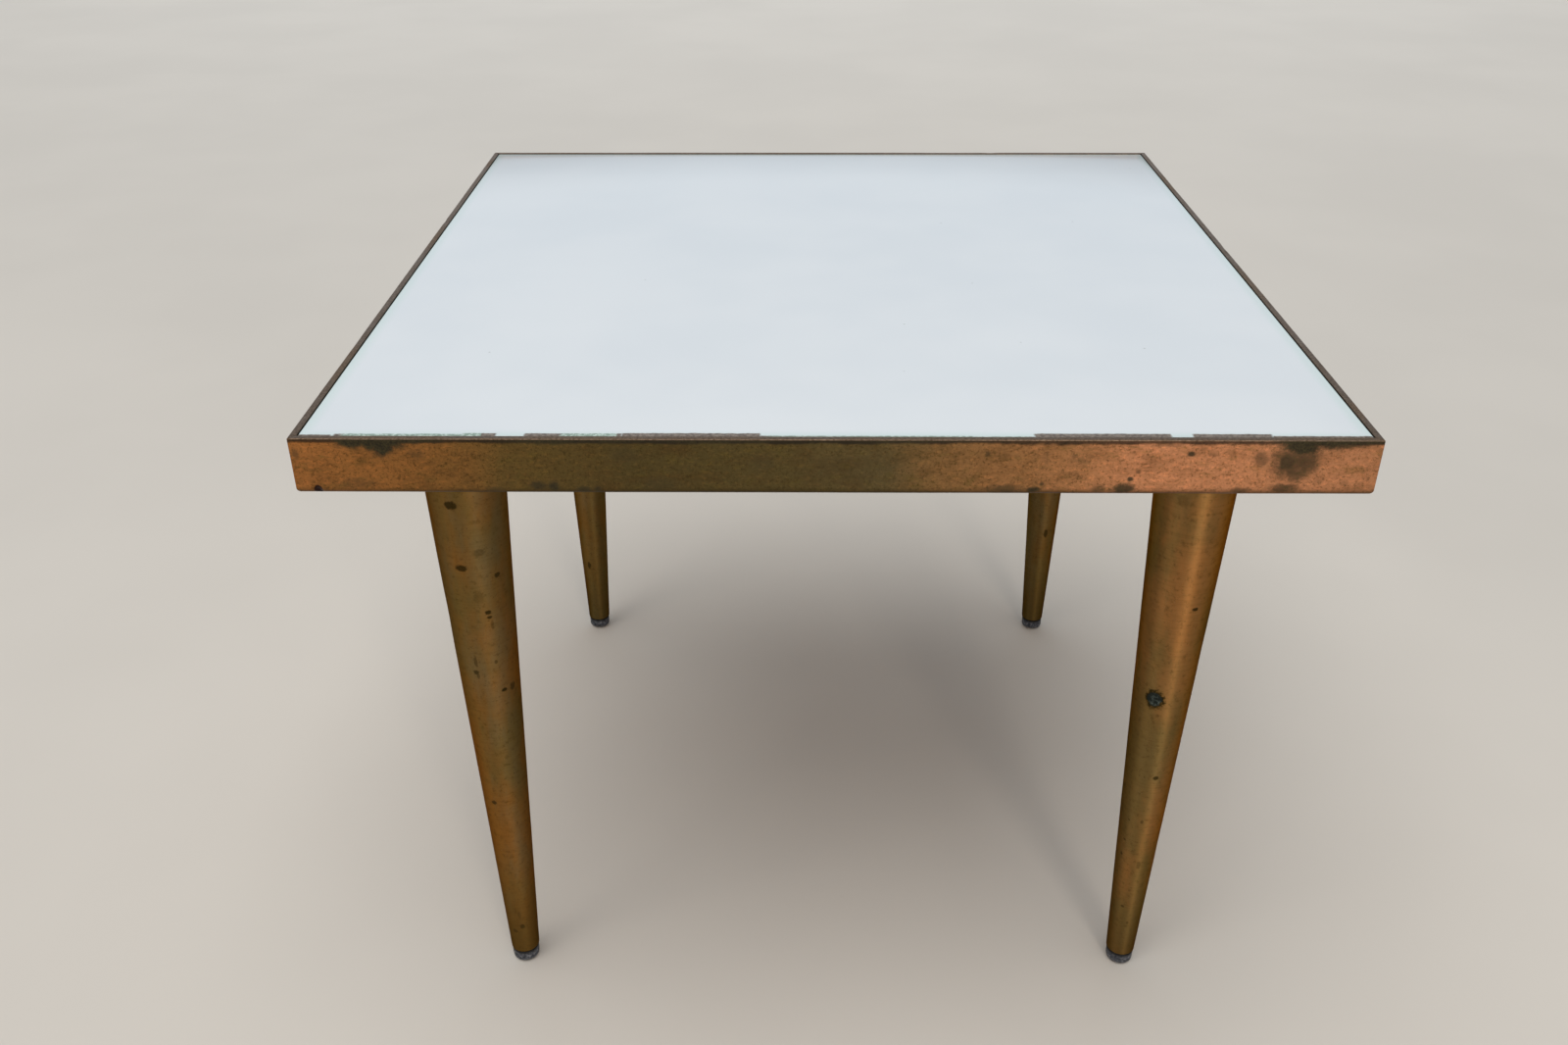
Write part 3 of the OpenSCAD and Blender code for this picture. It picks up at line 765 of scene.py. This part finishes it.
def make_band(side, turn):
    """One length of the band: its section swept along it, with mitred ends, knocks in its face
    and countersunk holes in its ledge."""
    section = divided(rounded([(0, 0, ROLL_R), (0, BAND_H, RIM_R), (WALL, BAND_H, INNER_R),
                               (WALL, LEDGE, 0.3 * MM), (LEDGE_REACH, LEDGE, INNER_R),
                               (LEDGE_REACH, 0, INNER_R)]), BAND_STEP)
    count = len(section)
    outward = []
    for i in range(count):
        run = section[(i + 1) % count] - section[i - 1]
        outward.append(Vector((-run.y, run.x)).normalized())
    if sum(o.x for o, s in zip(outward, section) if s.x < 1e-6) > 0:
        outward = [-o for o in outward]
    # Stations: close together at the mitres, where the edge turns over, then evenly
    near = [MITRE_R * (1 - math.cos(math.pi / 2 * k / 4)) for k in range(4)]
    length = HALF - MITRE_GAP
    ends = near + [2 * length - k for k in near]
    ends += [MITRE_R + (2 * length - 2 * MITRE_R) * k / BAND_STATIONS
             for k in range(BAND_STATIONS + 1)]
    ends += [length + (at + 0.4 * k) * MM for at, up, size, deep in KNOCKS[side] if size < 2
             for k in range(-8, 9)]
    ends.sort()
    rings = []
    seed = {"front": 0, "rear": 40, "left": 80, "right": 120}[side]
    for s in ends:
        edge = min(s, 2 * length - s)
        shy = max(0, MITRE_R - edge)
        lost = MITRE_R - math.sqrt(MITRE_R ** 2 - shy ** 2)
        ring = []
        for point, out in zip(section, outward):
            share = s / length - 1
            x = share * (length - point.x)
            push = -lost
            if point.x < WALL * 0.5:
                place = Vector((x, 0, point.y)) + Vector((0, seed * MM, 0))
                push += wander(place, BAND_WAVES)
                for at, up, size, deep in KNOCKS[side]:
                    far = math.hypot(x - at * MM, point.y - up * MM) / (size * MM)
                    if far < 2.5:
                        push -= deep * MM * math.exp(-far * far)
                push = min(push, 0.02 * MM)
            ring.append((x, -HALF + point.x + out.x * push, BAND_Z + point.y + out.y * push))
        rings.append(ring)
    bm = skinned(rings)
    bmesh.ops.recalc_face_normals(bm, faces=bm.faces)
    hole = SCREW_R + SCREW_HOLE_GAP
    mouth = SCREW_HEAD_R + SCREW_HOLE_GAP
    outline = [(0, -1 * MM), (mouth + 0.15 * MM, -1 * MM), (mouth + 0.15 * MM, 0),
               (mouth, 0.15 * MM), (mouth, SCREW_RIM), (hole, SCREW_RIM + mouth - hole),
               (hole, 4 * MM), (0, 4 * MM)]
    holes = [moved(lathe(outline, HOLE_SIDES), (x, -HALF + BAND_SCREW_IN, BAND_Z))
             for x in (-BAND_SCREW_RUN, 0, BAND_SCREW_RUN)]
    bm = moved(cut(bm, holes), turn=math.radians(turn))
    piece("brass_band_" + side, bm, "top", ["band_" + side], BANDS[side], sharp=32)


# ---- screws ----

def wood_screw(length, thread_from):
    """A slotted countersunk screw, its head's face at z = 0 and its point up."""
    head_end = SCREW_RIM + SCREW_HEAD_R - SCREW_R
    tip = length - 3 * MM
    count = math.ceil((length - thread_from) / (SCREW_PITCH / 8))
    outline = [(0, 0), (SCREW_HEAD_R - 0.12 * MM, 0), (SCREW_HEAD_R, 0.1 * MM),
               (SCREW_HEAD_R, SCREW_RIM), (SCREW_R, head_end)]
    for k in range(count):
        z = thread_from + (length - thread_from) * k / count
        outline.append((SCREW_R if z < tip else SCREW_R * (length - z) / (length - tip), z))
    outline.append((0, length))

    def threaded(radius, height, angle):
        if height < thread_from or radius < 0.2 * MM:
            return radius
        turn = (height / SCREW_PITCH - angle / math.tau) % 1
        ridge = max(0, 1 - abs(turn - 0.5) / 0.28)
        fade = min(1, (height - thread_from) / SCREW_PITCH)
        return radius * (1 - 0.24 * fade * (1 - ridge))

    body = lathe(outline, SCREW_SIDES, radius_at=threaded)
    bmesh.ops.recalc_face_normals(body, faces=body.faces)
    groove = box_solid((-5 * MM, -0.5 * MM, -1 * MM), (5 * MM, 0.5 * MM, 0.6 * MM))
    return cut(body, [groove])


def screw_group(name, length, places, node, finish, seed):
    """Copies of one screw, each of them stopped at its own angle."""
    random.seed(seed)
    pattern = wood_screw(length, 3.2 * MM)
    copies = [moved(pattern.copy(), place, random.uniform(0, math.tau)) for place in places]
    pattern.free()
    piece(name, joined(copies), "top", [node], finish)


def make_screws(legs):
    """The screws of the band's ledge and of the leg plates."""
    rows = []
    for s in (-1, 1):
        for run in (-BAND_SCREW_RUN, 0, BAND_SCREW_RUN):
            rows.append((run, s * (HALF - BAND_SCREW_IN), BAND_Z))
            rows.append((s * (HALF - BAND_SCREW_IN), run, BAND_Z))
    screw_group("brass_band_screws", BAND_SCREW_L, rows, "band_screws",
                SCREW_BRASS, 7)
    rows = [(x + dx, y + dy, PLATE_Z) for x, y in legs.values()
            for dx, dy in square_of(PLATE_SCREW_OUT)]
    screw_group("steel_plate_screws", PLATE_SCREW_L, rows, "plate_screws", ZINC, 9)


# ---- leg plates ----

def pierced_plate(loops, low, high, edge):
    """A flat plate between two levels. The first loop is its outline, the others are holes."""
    bm = bmesh.new()
    edges = []
    for loop in loops:
        ring = [bm.verts.new((x, y, low)) for x, y in loop]
        edges += [bm.edges.new((ring[i - 1], ring[i])) for i in range(len(ring))]
    bmesh.ops.triangle_fill(bm, use_beauty=True, edges=edges)
    lifted = bmesh.ops.extrude_face_region(bm, geom=bm.faces[:])["geom"]
    bmesh.ops.translate(bm, verts=[g for g in lifted if isinstance(g, bmesh.types.BMVert)],
                        vec=(0, 0, high - low))
    bmesh.ops.recalc_face_normals(bm, faces=bm.faces)
    return bevelled(bm, edge)


def make_plate(corner, at):
    """The plate of one leg, with its screw holes and its boss."""
    half = (plate_high.x - plate_low.x) / 2
    outline = rounded([(-half, -half, PLATE_CORNER_R), (half, -half, PLATE_CORNER_R),
                       (half, half, PLATE_CORNER_R), (-half, half, PLATE_CORNER_R)], 10)
    holes = [circle(SCREW_HEAD_R + SCREW_HOLE_GAP, HOLE_SIDES, p) for p in square_of(PLATE_SCREW_OUT)]
    plate = pierced_plate([outline, circle(BOLT_BORE_R, PLATE_SIDES), *holes], PLATE_Z,
                          PLATE_Z + PLATE_T, 0.25 * MM)
    ring = rounded([(BOLT_BORE_R, PLATE_Z + PLATE_T, 0), (BOSS_R, PLATE_Z + PLATE_T, 0),
                    (BOSS_R, plate_high.z, 0.4 * MM), (BOLT_BORE_R, plate_high.z, 0.4 * MM)], 4)
    boss = lathe(ring, PLATE_SIDES, closed=True)
    piece("steel_plate_" + corner, joined([plate, boss]), "top",
          ["leg_plate_" + corner], ZINC, (*at, 0))


# ---- legs ----

# Dents and raised crusts on the legs: degrees round from the front, height, radius, depth in mm
LEG_DENTS = {
    "front_left": ((-13, 308, 2.4, 0.06), (30, 176, 9, 0.16), (-60, 240, 12, 0.2)),
    "front_right": ((-25, 198, 3.2, -0.16), (40, 90, 8, 0.15), (100, 220, 12, 0.2)),
    "rear_left": ((0, 130, 9, 0.15), (170, 260, 12, 0.2)),
    "rear_right": ((20, 210, 10, 0.15), (200, 80, 8, 0.18)),
}


def make_sleeve(corner, at):
    """The spun brass sleeve: a thin closed shell with soft dents and the crusts of its spots."""
    turn_z = LEG_TOP_Z - SHOULDER_R
    centre = Vector((taper(turn_z) - SHOULDER_R, turn_z))
    inner = SHOULDER_R - SLEEVE_T
    lip = 0.15 * MM

    def arc(radius, first, last, steps=8):
        turns = [math.radians(first + (last - first) * k / steps) for k in range(steps + 1)]
        return [centre + radius * Vector((math.cos(a), math.sin(a))) for a in turns]

    outer = [Vector((taper(FOOT_Z) - lip, FOOT_Z)), Vector((taper(FOOT_Z), FOOT_Z + lip))]
    wall = divided(outer[1:] + arc(SHOULDER_R, 0, 90)[:1], SLEEVE_STEP, closed=False)
    closing = [Vector((BOLT_HOLE_R, LEG_TOP_Z)), Vector((BOLT_HOLE_R, LEG_TOP_Z - SLEEVE_T))]
    within = divided([arc(inner, 0, 90)[0], Vector((taper(FOOT_Z) - SLEEVE_T, FOOT_Z))],
                     INSIDE_STEP, closed=False)
    outline = [outer[0]] + wall + arc(SHOULDER_R, 0, 90)[1:]
    outline += closing + arc(inner, 90, 0) + within[1:]
    seed = CORNERS.index(corner) * 300 * MM

    def dented(radius, height, angle):
        outside = radius > taper(height) - 0.3 * MM
        if not outside or height > turn_z:
            return radius
        place = Vector((radius * math.cos(angle), radius * math.sin(angle), height + seed))
        push = wander(place, SLEEVE_WAVES)
        for turn, up, size, deep in LEG_DENTS[corner]:
            round_by = (angle + math.pi / 2 - math.radians(turn) + math.pi) % math.tau - math.pi
            far = math.hypot(round_by * radius, height - up * MM) / (size * MM)
            if far < 2.5:
                rough = 1 + 0.7 * noise.noise(place / (1.4 * MM)) if deep < 0 else 1
                push -= deep * MM * math.exp(-far ** 2) * rough
        return radius + push

    piece("brass_sleeve_" + corner, lathe(outline, SLEEVE_SIDES, closed=True, radius_at=dented),
          "leg_" + corner, ["leg_sleeve_" + corner], LEGS[corner], (*at, 0), sharp=40)


def make_glide(corner, at):
    """A steel cup with a rounded foot worn flat, and the nail that holds it in the leg."""
    rim = (glide_high.x - glide_low.x) / 2
    flat = 5 * MM
    dome = 3.06 * MM
    shadow = FOOT_Z - 0.8 * MM
    cap = 6.5 * MM
    cap_z = FOOT_Z + 1.2 * MM
    nail = 1.3 * MM
    outline = [(0, 0), (flat * 0.5, 0), (flat, 0)]
    for k in range(1, 13):
        a = math.pi / 2 * k / 12
        outline.append((flat + (rim - flat) * math.sin(a), dome * (1 - math.cos(a))))
    top = shadow - 0.3 * MM
    outline += [(rim, dome + (top - dome) * k / 6) for k in range(1, 7)]
    outline += [(rim - 0.09 * MM, shadow - 0.09 * MM), (rim - 0.3 * MM, shadow), (cap, shadow),
                (cap, cap_z - 0.1 * MM), (cap - 0.1 * MM, cap_z), (nail, cap_z),
                (nail, glide_high.z - 2 * MM), (0, glide_high.z)]
    seed = CORNERS.index(corner) * 90 * MM

    def scuffed(radius, height, angle):
        if height > shadow or radius < flat * 0.9:
            return radius
        place = Vector((radius * math.cos(angle) + seed, radius * math.sin(angle), height))
        dint = noise.noise(place / (2.1 * MM)) + 0.6 * noise.noise(place / (0.9 * MM))
        return radius - 0.10 * MM * max(0, 1 + dint)

    piece("steel_glide_" + corner, lathe(outline, GLIDE_SIDES, radius_at=scuffed), "leg_" + corner,
          ["glide_" + corner], GLIDES[corner], (*at, 0), sharp=50)


def make_bolt(corner, at):
    """The hanger bolt: coarse wood thread below, plain waist, machine thread above."""
    low, high = bolt_low.z, bolt_high.z
    waist_low, waist_high = LEG_TOP_Z - 8 * MM, LEG_TOP_Z - 1 * MM
    point, tip, chamfer = 8 * MM, 1 * MM, 1 * MM
    rings = 420
    outline = [(0, low)]
    for k in range(rings + 1):
        z = low + (high - low) * k / rings
        r = BOLT_R
        if z < low + point:
            r = tip + (BOLT_R - tip) * (z - low) / point
        if z > high - chamfer:
            r = BOLT_R - (z - high + chamfer)
        outline.append((r, z))
    outline.append((0, high))

    def threaded(radius, height, angle):
        if waist_low < height < waist_high:
            return min(radius, BOLT_R - 0.35 * MM)
        coarse = height <= waist_low
        pitch = 2.6 * MM if coarse else BOLT_PITCH
        depth = (0.95 if coarse else 0.72) * MM
        turn = (height / pitch - angle / math.tau) % 1
        ridge = max(0, min(1, (1 - abs(turn - 0.5) * 2) * (1.3 if coarse else 1.25)
                           - (0.45 if coarse else 0.1)))
        return min(radius, BOLT_R - depth * (1 - ridge))

    piece("threaded_bolt_" + corner, lathe(outline, BOLT_SIDES, radius_at=threaded), "leg_" + corner,
          ["hanger_bolt_" + corner], BOLT_STEEL, (*at, 0), sharp=70)


def make_washer(corner, at):
    """The split spring washer, pressed flat."""
    inner, outer = BOLT_R + 0.3 * MM, WASHER_R
    section = rounded([(inner, washer_low.z, 0.2 * MM), (outer, washer_low.z, 0.25 * MM),
                       (outer, washer_high.z, 0.25 * MM), (inner, washer_high.z, 0.2 * MM)], 3)
    half_gap = math.atan(WASHER_SPLIT / 2 / inner)
    middle = math.radians(35)
    first, last = middle + half_gap, middle + math.tau - half_gap
    steps = 90
    turns = [first + (last - first) * k / steps for k in range(steps + 1)]
    rings = [[(p.x * math.cos(a), p.x * math.sin(a), p.y) for p in section] for a in turns]
    piece("split_washer_" + corner, skinned(rings), "washer_" + corner,
          ["lock_washer_" + corner], BOLT_STEEL, (*at, 0))


leg_places = {}
for corner in CORNERS:
    low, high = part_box("leg_sleeve_" + corner)
    leg_places[corner] = ((low.x + high.x) / 2, (low.y + high.y) / 2)

make_glass()
make_felt()
for side, turn in (("front", 0), ("right", 90), ("rear", 180), ("left", 270)):
    make_band(side, turn)
make_screws(leg_places)
for corner, at in leg_places.items():
    make_plate(corner, at)
    make_sleeve(corner, at)
    make_glide(corner, at)
    make_bolt(corner, at)
    make_washer(corner, at)


def dress(node, finish):
    """Gives a CAD node that stays its own finish."""
    cad_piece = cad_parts[node]
    for held in cad_piece.material_slots:
        held.material = finish


dress("core_board", PLYWOOD)
for corner in CORNERS:
    dress("leg_core_" + corner, BEECH)


# ---- studio ----

FLOOR_R = 14
TABLE_MIDDLE = Vector((0, 0, 0.2))


def matt_floor():
    """Plain matt paint, pale and warm, with the faintest cloud in it."""
    finish, tree, where = new_material("matt_floor_paint")
    cloud = grain(tree, where, 400 * MM, detail=3)
    colour = coat(tree, "#CDC8C1", "#D1CCC5", cloud, 0.3, 0.7)
    surface(tree, colour, worn_to(tree, cloud, 0.75, 0.85))
    return finish


def softbox(name, azimuth, elevation, distance, size, power, tint):
    """A flat light that faces the table. Azimuth 0 is in front, and 90 is to the right."""
    light = bpy.data.lights.new(name, "AREA")
    light.shape = "RECTANGLE"
    light.size, light.size_y = size
    light.energy = power
    light.color = paint(tint)[:3]
    lamp = bpy.data.objects.new(name, light)
    a, e = math.radians(azimuth), math.radians(elevation)
    lamp.location = Vector((math.sin(a) * math.cos(e), -math.cos(a) * math.cos(e),
                            math.sin(e))) * distance + TABLE_MIDDLE
    lamp.rotation_euler = (TABLE_MIDDLE - lamp.location).to_track_quat("-Z", "Y").to_euler()
    lamp.visible_camera = False
    bpy.context.scene.collection.objects.link(lamp)
    return light


def feather(light, inner=0.28):
    """Fades a softbox out from inner, a share of its width from its middle, to its edges."""
    light.use_nodes = True
    tree = light.node_tree
    tree.nodes.clear()
    place = add(tree, "NewGeometry", out="Parametric")
    fades = []
    for share in add(tree, "SeparateXYZ", [place], EVERY)[:2]:
        off = add(tree, "Math", (share, 0.5), operation="SUBTRACT")
        off = add(tree, "Math", [off], operation="ABSOLUTE")
        fades.append(add(tree, "MapRange", (off, 0.5, inner), interpolation_type="SMOOTHSTEP"))
    strength = add(tree, "Math", fades, operation="MULTIPLY")
    add(tree, "OutputLight", [add(tree, "Emission", {"Strength": strength})])


floor_mesh = bmesh.new()
bmesh.ops.create_circle(floor_mesh, cap_ends=True, segments=96, radius=FLOOR_R)
mesh = bpy.data.meshes.new("studio_floor")
floor_mesh.to_mesh(mesh)
floor_mesh.free()
floor = bpy.data.objects.new("studio_floor", mesh)
bpy.context.scene.collection.objects.link(floor)
mesh.materials.append(matt_floor())

world = bpy.data.worlds.new("studio")
bpy.context.scene.world = world
world.use_nodes = True
backdrop = world.node_tree.nodes["Background"].inputs
backdrop["Color"].default_value = paint("#E9EEF3")
backdrop["Strength"].default_value = 0.27
bpy.context.scene.view_settings.view_transform = "Standard"

canopy = bpy.data.lights.new("canopy", "SUN")
canopy.energy = 1.93
canopy.angle = math.radians(58)
canopy.color = paint("#FFFDF9")[:3]
canopy_lamp = bpy.data.objects.new("canopy", canopy)
canopy_lamp.rotation_euler = (math.radians(10), math.radians(-6), 0)
bpy.context.scene.collection.objects.link(canopy_lamp)
softbox("key", 17, 12, 2.3, (0.42, 0.8), 14, "#FFF3E4")
softbox("fill", -50, 16, 2.6, (1.2, 1.0), 10, "#FFF6EC")
# A wide pale card behind the table, for the glass to mirror
feather(softbox("card", 180, 25, 4.4, (7.5, 4.2), 60, "#E4F0FA"))

# The camera stands at the front, a little left of the middle, and looks down at the table
CAMERA_AT = (-0.0162, -0.7441, 0.6134)
CAMERA_DOWN = 29.61
CAMERA_TURN = 0.536
CAMERA_ROLL = 0.129
camera_data = bpy.data.cameras.new("camera")
camera_data.sensor_width = 36
camera_data.lens = 31.67
camera = bpy.data.objects.new("camera", camera_data)
camera.matrix_world = (Matrix.Translation(CAMERA_AT)
                       @ Matrix.Rotation(math.radians(CAMERA_TURN), 4, "Z")
                       @ Matrix.Rotation(math.radians(90 - CAMERA_DOWN), 4, "X")
                       @ Matrix.Rotation(math.radians(-CAMERA_ROLL), 4, "Z"))
bpy.context.scene.collection.objects.link(camera)
bpy.context.scene.camera = camera
